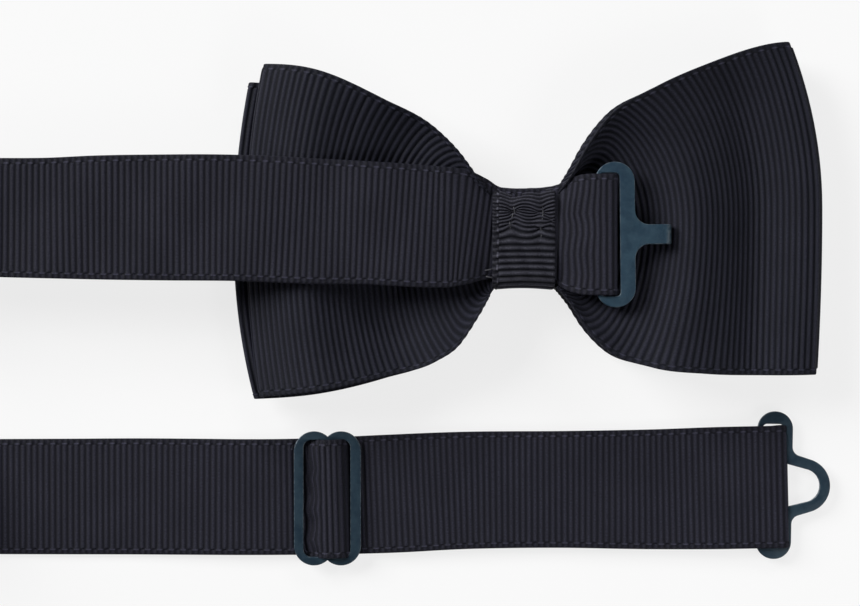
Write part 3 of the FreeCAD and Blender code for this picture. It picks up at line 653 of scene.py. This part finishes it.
def bandUpperKnots():
    f, r = hookFold, bandRun
    knots = [(f["start"], f["y"], f["z"] - foldRadius, 0, 0.97), (13.0, f["y"], f["z"] - foldRadius, 0, 1)]
    knots += foldKnots(f["middle"], f["y"], f["z"], foldRadius)
    knots += [(13.4, 0.5, 12.93, 0, 1), (10.8, 0.55, 12.6, 0, 0.99), (8.6, 0.6, 12.05, 0, 0.94),
              (6.2, 0.7, 11.3, 0, 0.82), (4.5, 0.7, 11.05, 0, 0.77), (0, 0.7, 10.85, 0, 0.74),
              (-4.5, 0.85, 11.05, 0, 0.75), (-6.2, 1.0, 11.35, 0, 0.79),
              (-8.5, 1.3, 12.1, 0, 0.88), (-12, 1.7, 12.7, 0, 0.97), (-17, 1.9, 13.1, 0, 1),
              (-29, 2.6, 13.4, 0, 1.01), (-38, 2.9, 13.3, 0, 1.03), (-52, 3.5, 13.1, 0, 1.037),
              (-66, 3.6, 12.9, 0, 1.035), (-78, 3.6, 12.7, 0, 1.02), (-88, 3.5, 12.5, 0, 0.99)]
    steps = 8
    wayOut, wayBack = [], []
    for step in range(steps + 1):
        share = step / steps
        eased = share * share * (3 - 2 * share)
        roll = 90 * eased
        x = r["twistStart"] + (r["turnX"] - r["twistStart"]) * share
        z = strapHalf * math.sin(math.radians(roll)) + 0.22 * math.cos(math.radians(roll)) + 0.05 * (1 - eased)
        wayOut.append((x, r["upperY"], r["upperZ"] + (strapHalf - r["upperZ"]) * eased, roll, 0.975))
        wayBack.append((x, r["lowerY"], z, roll, 1))
    radius = (r["upperY"] - r["lowerY"]) / 2
    middleY = (r["upperY"] + r["lowerY"]) / 2
    turn = [(r["turnX"] + radius * math.cos(angle), middleY + radius * math.sin(angle), strapHalf, 90, 1)
            for angle in np.radians(np.linspace(90, 270, 13))[1:-1]]
    return knots + wayOut + turn + wayBack[::-1]


def dressUpper(points, marks, across):
    # dents and waves beside the knot, and edges that curl down into it
    x, y = points[..., 0], points[..., 1]
    top = points[..., 2] > 10.5
    flat = (x > -30) & top
    near = np.exp(-((np.abs(x) - 6.2) / 3.2) ** 2) * flat
    v = across[None] / strapHalf
    points[..., 2] -= 0.9 * near * v ** 2
    stub = np.exp(-((x - 10.2) / 3.0) ** 2) * flat * (points[..., 2] > 11.3)
    points[..., 2] -= 0.45 * np.exp(-((x - 10.4) / 1.6) ** 2 - ((y - 3.9) / 2.2) ** 2) * flat
    points[..., 0] += 0.22 * stub * np.sin(0.75 * y + 0.6) - 0.3 * stub * np.exp(-((y - 3.9) / 1.4) ** 2)
    wave = 0.16 * np.sin(0.21 * x + 0.11 * y) + 0.1 * np.sin(0.37 * x - 0.2 * y + 1.3)
    points[..., 2] += wave * np.clip((-x - 14) / 10, 0, 1) * np.clip((x + 136) / 20, 0, 1) * top
    # one long shallow channel, as where the ribbon was folded in its packet
    points[..., 2] -= 0.25 * np.exp(-((x + 34) / 5.0) ** 2) * top
    return points


band, bandLength = sweptRibbon("bandUpper", bandUpperKnots(), strapHalf, bandCloth, dress=dressUpper,
                               ribs=bandRibs)
finishPiece(band, "root", "grosgrain", "neck_band_upper", "neck_band_upper_twist", "neck_band_turn",
            "neck_band_lower_twist", "band_hook_fold")
print("fixed band of", round(bandLength, 1), "mm")

# ---- the lower run: from the twist under the slider to the eye, round its bar and back underneath
eyePlace = {"x": 48.9, "z": 1.15}
lowerRun = {"floor": 0.27, "over": 1.1, "end": -16.0}
# the run's middle line and how much of the ribbon's width shows along it: it bends at the slider,
# and is let down and lifted a little on its way to the eye
runLine = [(-98, -48.45, 0.975), (-72, -48.4, 0.985), (-40, -48.35, 0.985), (-28.5, -48.0, 1.0),
           (-17, -47.4, 0.997), (-6, -47.08, 0.99), (6, -47.0, 0.988), (20, -47.03, 1.005), (32, -46.8, 1.028),
           (50, -46.4, 1.033)]


def lowerLine(x, column=1):
    return float(interpolate(np.array([x]), runLine, column)[0])


def lowerKnot(x, z, share=None):
    return (x, lowerLine(x), z, 0, lowerLine(x, 2) if share is None else share)


def bandLowerKnots():
    p, e = lowerRun, eyePlace
    top = e["z"] + foldRadius
    places = [(bandRun["twistStart"], p["floor"]), (-84, 0.3), (-72, 0.34), (-62, 0.7), (-52, 1.05),
              (-44, p["over"]), (-36, p["over"]), (-25, 1.16), (-10, 1.2), (8, 1.22), (24, 1.4), (36, 1.85),
              (43, top)]
    places += [(x, z) for x, _, z, _, _ in foldKnots(e["x"], 0, e["z"], foldRadius, low=False)]
    return ([lowerKnot(x, z) for x, z in places]
            + [lowerKnot(x, e["z"] - foldRadius, 0.97) for x in (42, 30, 15, 0, p["end"])])


def dressLower(points, marks, across):
    x, y = points[..., 0], points[..., 1]
    top = points[..., 2] > 0.9
    wave = 0.07 * np.sin(0.19 * x + 0.14 * y) + 0.05 * np.sin(0.33 * x - 0.23 * y + 2.0)
    points[..., 2] += (wave + 0.1) * np.clip((x + 30) / 6, 0, 1) * top
    return points


lower, lowerLength = sweptRibbon("bandLower", bandLowerKnots(), strapHalf, bandCloth, start=0.4,
                                 dress=dressLower, ribs=bandRibs)
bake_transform(lower)
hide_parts("neck_band_lower", "band_eye_fold")
print("lower run of", round(lowerLength, 1), "mm")

# ---- the band's end, wrapped round the slider's middle bar, and the stretch that weaves over it
sliderPlace = {"x": -36.4, "y": -48.6}
returnRun = {"z": 0.65, "end": 48.0}
weaveKnots = [(-7.4, 1.02), (-6.3, 1.14), (-5.0, 1.24), (-3.9, 1.4), (-2.7, 1.85), (-1.5, 2.8), (-0.4, 3.3),
              (0.7, 3.42), (1.8, 3.38), (2.8, 3.1), (3.6, 2.35), (4.2, 1.55), (4.9, 1.24), (6.0, 1.14),
              (7.4, 1.02)]
# the weave lies a little below the run's line, is narrower past the bars, and its ribs are crowded
weaveSet = {"drop": 0.4, "inside": 4.6, "endShare": 0.92, "pitch": 1.0}


def makeReturn():
    p, r = sliderPlace, returnRun
    knots = [lowerKnot(p["x"] + x, z, 0.96) for x, z in (
        (1.2, 1.5), (1.25, 2.2), (0.9, 2.75), (0.2, 2.9), (-0.6, 2.85), (-1.2, 2.3), (-1.3, 1.4), (-0.9, 0.8),
        (0.5, r["z"]), (12, r["z"]), (30, r["z"]), (r["end"], r["z"]))]
    piece, length = sweptRibbon("bandReturn", knots, strapHalf, bandCloth, perRib=4, core=0.12,
                                ribs=dict(bandRibs, **{"Rib Height": 0.12}))
    finishPiece(piece, "slider", "grosgrain", "band_return")
    return length


def dressWeave(points, marks, across):
    # the ribbon is cramped in the slider: its left slope puckers
    x = points[..., 0] - sliderPlace["x"]
    v = across[None] / strapHalf
    slope = np.exp(-((x + 2.9) / 1.6) ** 2)
    points[..., 0] += 0.28 * slope * np.sin(1.15 * across[None] + 0.7) * (1 - 0.3 * v)
    points[..., 2] += 0.2 * slope * np.sin(0.8 * across[None] + 2.2) + 0.1 * slope * np.sin(2.1 * across[None])
    return points


print("return of", round(makeReturn(), 1), "mm")
weave, weaveLength = sweptRibbon(
    "bandWeave", [(sliderPlace["x"] + x, lowerLine(sliderPlace["x"] + x) - weaveSet["drop"], z, 0,
                   1 if abs(x) < weaveSet["inside"] else weaveSet["endShare"]) for x, z in weaveKnots],
    strapHalf, bandCloth, pitch=weaveSet["pitch"], perRib=8, dress=dressWeave,
    ribs=dict(bandRibs, **{"Rib Pitch": weaveSet["pitch"]}))
finishPiece(weave, "slider", "grosgrain", "band_weave")
print("weave of", round(weaveLength, 1), "mm")


# ---- stamped plates: an outline with round corners, given thickness and a soft edge
def arcPoints(x, y, radius, start, end, count=24):
    return [(x + radius * math.cos(math.radians(a)), y + radius * math.sin(math.radians(a)), 0)
            for a in np.linspace(start, end, count)]


def roundCorners(corners):
    # each corner is x, y, radius; a corner of radius 0 stays a plain point
    outline = []
    for k, (x, y, radius) in enumerate(corners):
        here = Vector((x, y))
        if not radius:
            outline.append(here)
            continue
        before = (Vector(corners[k - 1][:2]) - here).normalized()
        after = (Vector(corners[(k + 1) % len(corners)][:2]) - here).normalized()
        half = before.angle(after) / 2
        reach = radius / math.tan(half)
        middle = here + (before + after).normalized() * radius / math.sin(half)
        first, last = here + before * reach - middle, here + after * reach - middle
        turn = first.angle_signed(last)
        for t in np.linspace(0, 1, 12):
            angle = -turn * t
            outline.append(middle + Vector((first.x * math.cos(angle) - first.y * math.sin(angle),
                                            first.x * math.sin(angle) + first.y * math.cos(angle))))
    return outline


def addSpline(curve, points, closed):
    spline = curve.splines.new("POLY")
    spline.points.add(len(points) - 1)
    for point, (x, y, z) in zip(spline.points, points):
        point.co = (x * mm, y * mm, z * mm, 1)
    spline.use_cyclic_u = closed


def meshFromCurve(curve):
    holder = addObject(curve.name, curve)
    mesh = bpy.data.meshes.new_from_object(holder.evaluated_get(bpy.context.evaluated_depsgraph_get()))
    bpy.data.objects.remove(holder)
    bpy.data.curves.remove(curve)
    return mesh


def plateMesh(name, outlines, thickness, softness=0.16):
    # a filled flat curve with a rounded rim, made a mesh at the origin
    curve = bpy.data.curves.new(name, "CURVE")
    curve.dimensions = "2D"
    curve.fill_mode = "BOTH"
    curve.extrude = (thickness / 2 - softness) * mm
    curve.bevel_depth = softness * mm
    curve.bevel_resolution = 2
    curve.offset = -softness * mm
    for outline in outlines:
        addSpline(curve, [(place.x, place.y, 0) for place in outline], True)
    return meshFromCurve(curve)


def tubeMesh(name, path, section):
    # a section of (across, up) points swept along a path in the X-Z plane, closed at both ends
    path = np.array(path, float)
    tangent = unitRows(np.gradient(path, axis=0))
    rows, count = len(path), len(section)
    verts = []
    for (x, z), (tx, tz) in zip(path, tangent):
        verts += [(x - up * tz, across, z + up * tx) for across, up in section]
    faces = [[r * count + k, (r + 1) * count + k, (r + 1) * count + (k + 1) % count,
              r * count + (k + 1) % count] for r in range(rows - 1) for k in range(count)]
    faces += [list(range(count)), list(range((rows - 1) * count, rows * count))[::-1]]
    mesh = bpy.data.meshes.new(name)
    mesh.from_pydata([tuple(c * mm for c in v) for v in verts], [], faces)
    return mesh


def platePiece(name, meshes, place, material):
    # join the meshes, clean them, mark the rim for the edge wear and painted edge highlight, and put the piece at
    # its place
    build = bmesh.new()
    for mesh in meshes:
        build.from_mesh(mesh)
        bpy.data.meshes.remove(mesh)
    bmesh.ops.remove_doubles(build, verts=build.verts, dist=2e-6)
    bmesh.ops.recalc_face_normals(build, faces=build.faces)
    x, y, z, turn = place
    cos, sin = math.cos(math.radians(turn)), math.sin(math.radians(turn))
    for vert in build.verts:
        px, py, pz = vert.co
        vert.co = (x * mm + px * cos - py * sin, y * mm + px * sin + py * cos, z * mm + pz)
    mesh = bpy.data.meshes.new(name)
    build.normal_update()
    rims = [1.0 - min(1.0, abs(v.normal.z) ** 4) for v in build.verts]
    for edge in build.edges:
        if len(edge.link_faces) == 2:
            edge.smooth = edge.calc_face_angle(0) < math.radians(40)
    build.to_mesh(mesh)
    build.free()
    addAttribute(mesh, "rim", "FLOAT", rims)
    smoothFaces(mesh)
    mesh.materials.append(material)
    return addObject(name, mesh)


hookPlate = {"x": 16.65, "y": 0.5, "z": 12.05, "turn": 0.6, "thickness": 0.9, "halfWidth": 3.65,
             "back": 3.65, "halfLength": 13.3, "backBar": 0.9, "frontBar": 2.8, "endBar": 2.05, "corner": 0.7,
             "tongue": 1.8, "fillet": 2.6, "bendAt": 9.05, "bendRadius": 0.8, "lipEnd": 6.6}


def makeHook():
    h = hookPlate
    w, l, t = h["halfWidth"], h["halfLength"], h["tongue"]
    b, r, c = h["back"], w - 0.05, h["corner"]
    outer = roundCorners([(-b, -l, r), (w, -l, r), (w, -t, h["fillet"]), (h["bendAt"] + 0.1, -t, 0),
                          (h["bendAt"] + 0.1, t, 0), (w, t, h["fillet"]), (w, l, r), (-b, l, r)])
    left, right, end = -b + h["backBar"], w - h["frontBar"], l - h["endBar"]
    window = roundCorners([(left, -end, c), (right, -end, c), (right, end, c), (left, end, c)])
    plate = plateMesh("tHookPlate", [outer, window], h["thickness"])
    half, soft = h["thickness"] / 2, 0.16
    section = [(v.x, v.y) for v in roundCorners([(-t, -half, soft), (t, -half, soft), (t, half, soft),
                                                  (-t, half, soft)])]
    bend = [(h["bendAt"] + h["bendRadius"] * math.sin(a), -h["bendRadius"] * (1 - math.cos(a)))
            for a in np.linspace(0, math.pi, 19)]
    path = [(h["bendAt"] - 0.25, 0)] + bend + [(h["lipEnd"], -2 * h["bendRadius"])]
    lip = tubeMesh("tHookLip", path, section)
    piece = platePiece("tHook", [plate, lip], (h["x"], h["y"], h["z"], h["turn"]), steel)
    finishPiece(piece, "t_hook", "blued_steel", "t_hook")


sliderPlate = {"z": 2.1, "thickness": 0.9, "lobe": 3.75, "pitch": 5.05, "halfLength": 12.55, "leftBar": 1.8,
               "rightBar": 2.0, "middleBar": 0.85, "window": 10.95}


def makeSlider():
    s = sliderPlate
    c, r = s["pitch"] / 2, s["lobe"]
    top = s["halfLength"] - r
    notch = math.degrees(math.acos(c / r))
    outer = roundCorners(arcPoints(c, -top, r, notch - 180, 0) + arcPoints(c, top, r, 0, 180 - notch)
                         + arcPoints(-c, top, r, notch, 180) + arcPoints(-c, -top, r, 180, 360 - notch))
    windows = []
    for near, far in ((-s["middleBar"], -c - r + s["leftBar"]), (s["middleBar"], c + r - s["rightBar"])):
        y = s["window"]
        windows.append(roundCorners([(near, -y, 0.3), (far, -y, 1.4), (far, y, 1.4), (near, y, 0.3)]))
    plate = plateMesh("sliderPlate", [outer] + windows, s["thickness"])
    piece = platePiece("sliderFrame", [plate], (sliderPlace["x"], sliderPlace["y"], s["z"], 0), steelPaintedShade)
    finishPiece(piece, "slider", "blued_steel", "slider")


eyePlate = {"x": 47.45, "y": -46.2, "z": 1.15, "turn": -1.0, "thickness": 0.9, "halfWidth": 3.3,
            "halfLength": 13.85, "bar": 1.65, "backBar": 0.9, "endBar": 2.35, "loopX": 5.35, "loop": 5.1,
            "hole": 3.15}


def makeEye():
    e = eyePlate
    w, l, x = e["halfWidth"], e["halfLength"], e["loopX"]
    loop = arcPoints(x, 0, e["loop"], -72, 72, 40)
    outer = roundCorners([(-w, -l, w - 0.05), (w, -l, w - 0.05), (w, -6.0, 1.7)] + loop
                         + [(w, 6.0, 1.7), (w, l, w - 0.05), (-w, l, w - 0.05)])
    left, right, end = -w + e["backBar"], w - e["bar"], l - e["endBar"]
    hole = arcPoints(x, 0, e["hole"], -80, 80, 32)
    window = roundCorners([(left, -end, 0.9), (right, -end, 0.9), (right, -4.2, 1.0)] + hole
                          + [(right, 4.2, 1.0), (right, end, 0.9), (left, end, 0.9)])
    plate = plateMesh("eyePlate", [outer, window], e["thickness"])
    piece = platePiece("eyeHook", [plate], (e["x"], e["y"], e["z"], e["turn"]), steelPaintedShade)
    finishPiece(piece, "eye_hook", "blued_steel", "eye_hook")


makeHook()
makeSlider()
makeEye()
print("plates made")


# ---- Geometry Nodes: stitches, one short raised thread at each point
def makeStitchTree():
    tree, inputs = newGeometryTree("stitches", {"Length": 0.0014, "Rise": 0.0003, "Thread Radius": 0.00014},
                                   "Thread")
    half = compute(tree, "MULTIPLY", inputs["Length"], 0.5)
    ends = ({"X": compute(tree, "MULTIPLY", half, -1.0)}, {"Z": compute(tree, "MULTIPLY", inputs["Rise"], 2.0)},
            {"X": half})
    arch = addNode(tree, "GeometryNodeCurveQuadraticBezier", {"Resolution": 8})
    for end, name in zip(ends, ("Start", "Middle", "End")):
        feed(tree, addNode(tree, "ShaderNodeCombineXYZ", end).outputs[0], arch.inputs[name])
    circle = addNode(tree, "GeometryNodeCurvePrimitiveCircle", {"Resolution": 8,
                                                                "Radius": inputs["Thread Radius"]})
    thread = addNode(tree, "GeometryNodeCurveToMesh", {
        "Fill Caps": True, "Curve": arch.outputs[0], "Profile Curve": circle.outputs[0]})
    way = namedValue(tree, "way", "FLOAT_VECTOR")
    align = addNode(tree, "FunctionNodeAlignRotationToVector", {"Vector": way}, axis="X")
    place = addNode(tree, "GeometryNodeInstanceOnPoints", {
        "Points": inputs["Geometry"], "Instance": thread.outputs[0], "Rotation": align.outputs[0]})
    return endGeometryTree(tree, place.outputs[0], inputs["Thread"])


stitchTree = makeStitchTree()


def sewStitches(name, body, node, places, length, rise=0.22, radius=0.11):
    # places: x, y, z of each stitch and the way its thread runs, in degrees from +X
    mesh = bpy.data.meshes.new(name)
    mesh.from_pydata([(x * mm, y * mm, z * mm) for x, y, z, _ in places], [], [])
    ways = [c for angle in np.radians([place[3] for place in places]) for c in (math.cos(angle), math.sin(angle), 0)]
    addAttribute(mesh, "way", "FLOAT_VECTOR", ways)
    piece = addObject(name, mesh)
    applyTree(piece, stitchTree, {"Length": length * mm, "Rise": rise * mm, "Thread Radius": radius * mm,
                                  "Thread": threadCloth}, "way")
    finishPiece(piece, body, "thread", node)


knotTop = knotShape["middleZ"] + knotShape["halfDepth"]
sewStitches("knotStitches", "root", "knot_stitches", [
    (-1.8, 5.0, knotTop, 100), (-2.2, 3.7, knotTop, 75), (-2.6, 2.3, knotTop, 95), (3.45, 4.7, knotTop, 95),
    (3.35, 3.4, knotTop, 85), (3.0, 1.9, knotTop, 100), (3.2, 0.6, knotTop, 80),
    (-6.4, -5.9, knotTop - 0.2, 12), (-6.2, -7.3, knotTop - 0.6, 170)], 1.5)
sewStitches("endSeam", "slider", "end_seam", [
    (sliderPlace["x"] + 2.9, sliderPlace["y"] + y, returnRun["z"] + 0.16, 90)
    for y in np.arange(-9, 9.1, 1.8)], 1.3, rise=0.1, radius=0.09)
sewStitches("hookEndTack", "root", "hook_end_tack", [
    (10.4, hookFold["y"] + y, hookFold["z"] - foldRadius + 0.2, 90) for y in (-6, -3, 0, 3, 6)], 1.6)

# ---- thread wound round the waist of both tiers, inside the knot
windingSizes = {"turns": 9, "halfWidth": 1.8, "halfY": 8.1, "lowZ": 1.15, "highZ": 9.75, "corner": 1.5,
                "radius": 0.16}


def makeWinding():
    w = windingSizes
    corners = [(w["halfY"], w["lowZ"], w["corner"]), (w["halfY"], w["highZ"], w["corner"]),
               (-w["halfY"], w["highZ"], w["corner"]), (-w["halfY"], w["lowZ"], w["corner"])]
    ring = roundCorners(corners)
    curve = bpy.data.curves.new("bindingThread", "CURVE")
    curve.dimensions = "3D"
    curve.bevel_depth = w["radius"] * mm
    curve.bevel_resolution = 1
    curve.use_fill_caps = True
    total = len(ring) * w["turns"]
    points = []
    for k in range(total):
        place = ring[k % len(ring)]
        points.append((-w["halfWidth"] + 2 * w["halfWidth"] * k / total, place.x, place.y))
    addSpline(curve, points, False)
    mesh = meshFromCurve(curve)
    smoothFaces(mesh)
    mesh.materials.clear()
    mesh.materials.append(threadCloth)
    piece = addObject("bindingThread", mesh)
    finishPiece(piece, "root", "thread", "bow_binding_thread")


makeWinding()
print("threads sewn")

# ---- stage: pale floor, a soft key light from the upper left, weak fills from the other sides
stageSetup = {"floorColor": (0.12, 0.12, 0.12), "floorGlow": 0.78, "floorZ": -0.0006, "floorSize": 3.0,
              "ambient": 0.09}


def makeStage():
    floorMesh = bpy.data.meshes.new("floor")
    size, z = stageSetup["floorSize"], stageSetup["floorZ"]
    corners = [(-size, -size, z), (size, -size, z), (size, size, z), (-size, size, z)]
    floorMesh.from_pydata(corners, [], [(0, 1, 2, 3)])
    floor = addObject("floor", floorMesh)
    material, tree, shader = newMaterial("pale floor")
    feedAll(tree, shader, {"Base Color": (*stageSetup["floorColor"], 1), "Roughness": 0.9,
                           "Emission Color": (1, 1, 1, 1), "Emission Strength": stageSetup["floorGlow"]})
    floorMesh.materials.append(material)
    world = bpy.data.worlds.new("studio")
    world.use_nodes = True
    feedAll(world.node_tree, world.node_tree.nodes["Background"].inputs,
            {"Color": (0.95, 0.97, 1.0, 1), "Strength": stageSetup["ambient"]})
    bpy.context.scene.world = world


def addLight(name, place, target, size, power):
    light = bpy.data.lights.new(name, "AREA")
    light.shape = "RECTANGLE"
    light.size, light.size_y = size
    light.energy = power
    holder = addObject(name, light)
    holder.location = place
    holder.rotation_euler = (Vector(target) - Vector(place)).to_track_quat("-Z", "Y").to_euler()


makeStage()
addLight("key softbox", (-1.9, 1.2, 1.4), (0, 0, 0), (1.2, 1.4), 112)
addLight("right fill", (1.2, -0.3, 0.9), (0, 0, 0), (0.6, 0.8), 4)
addLight("near card", (0.22, -0.24, 0.30), (0.03, -0.04, 0), (0.15, 0.15), 0.4)
addLight("far softbox", (0.4, 1.5, 1.0), (0, 0, 0), (0.8, 0.4), 9)
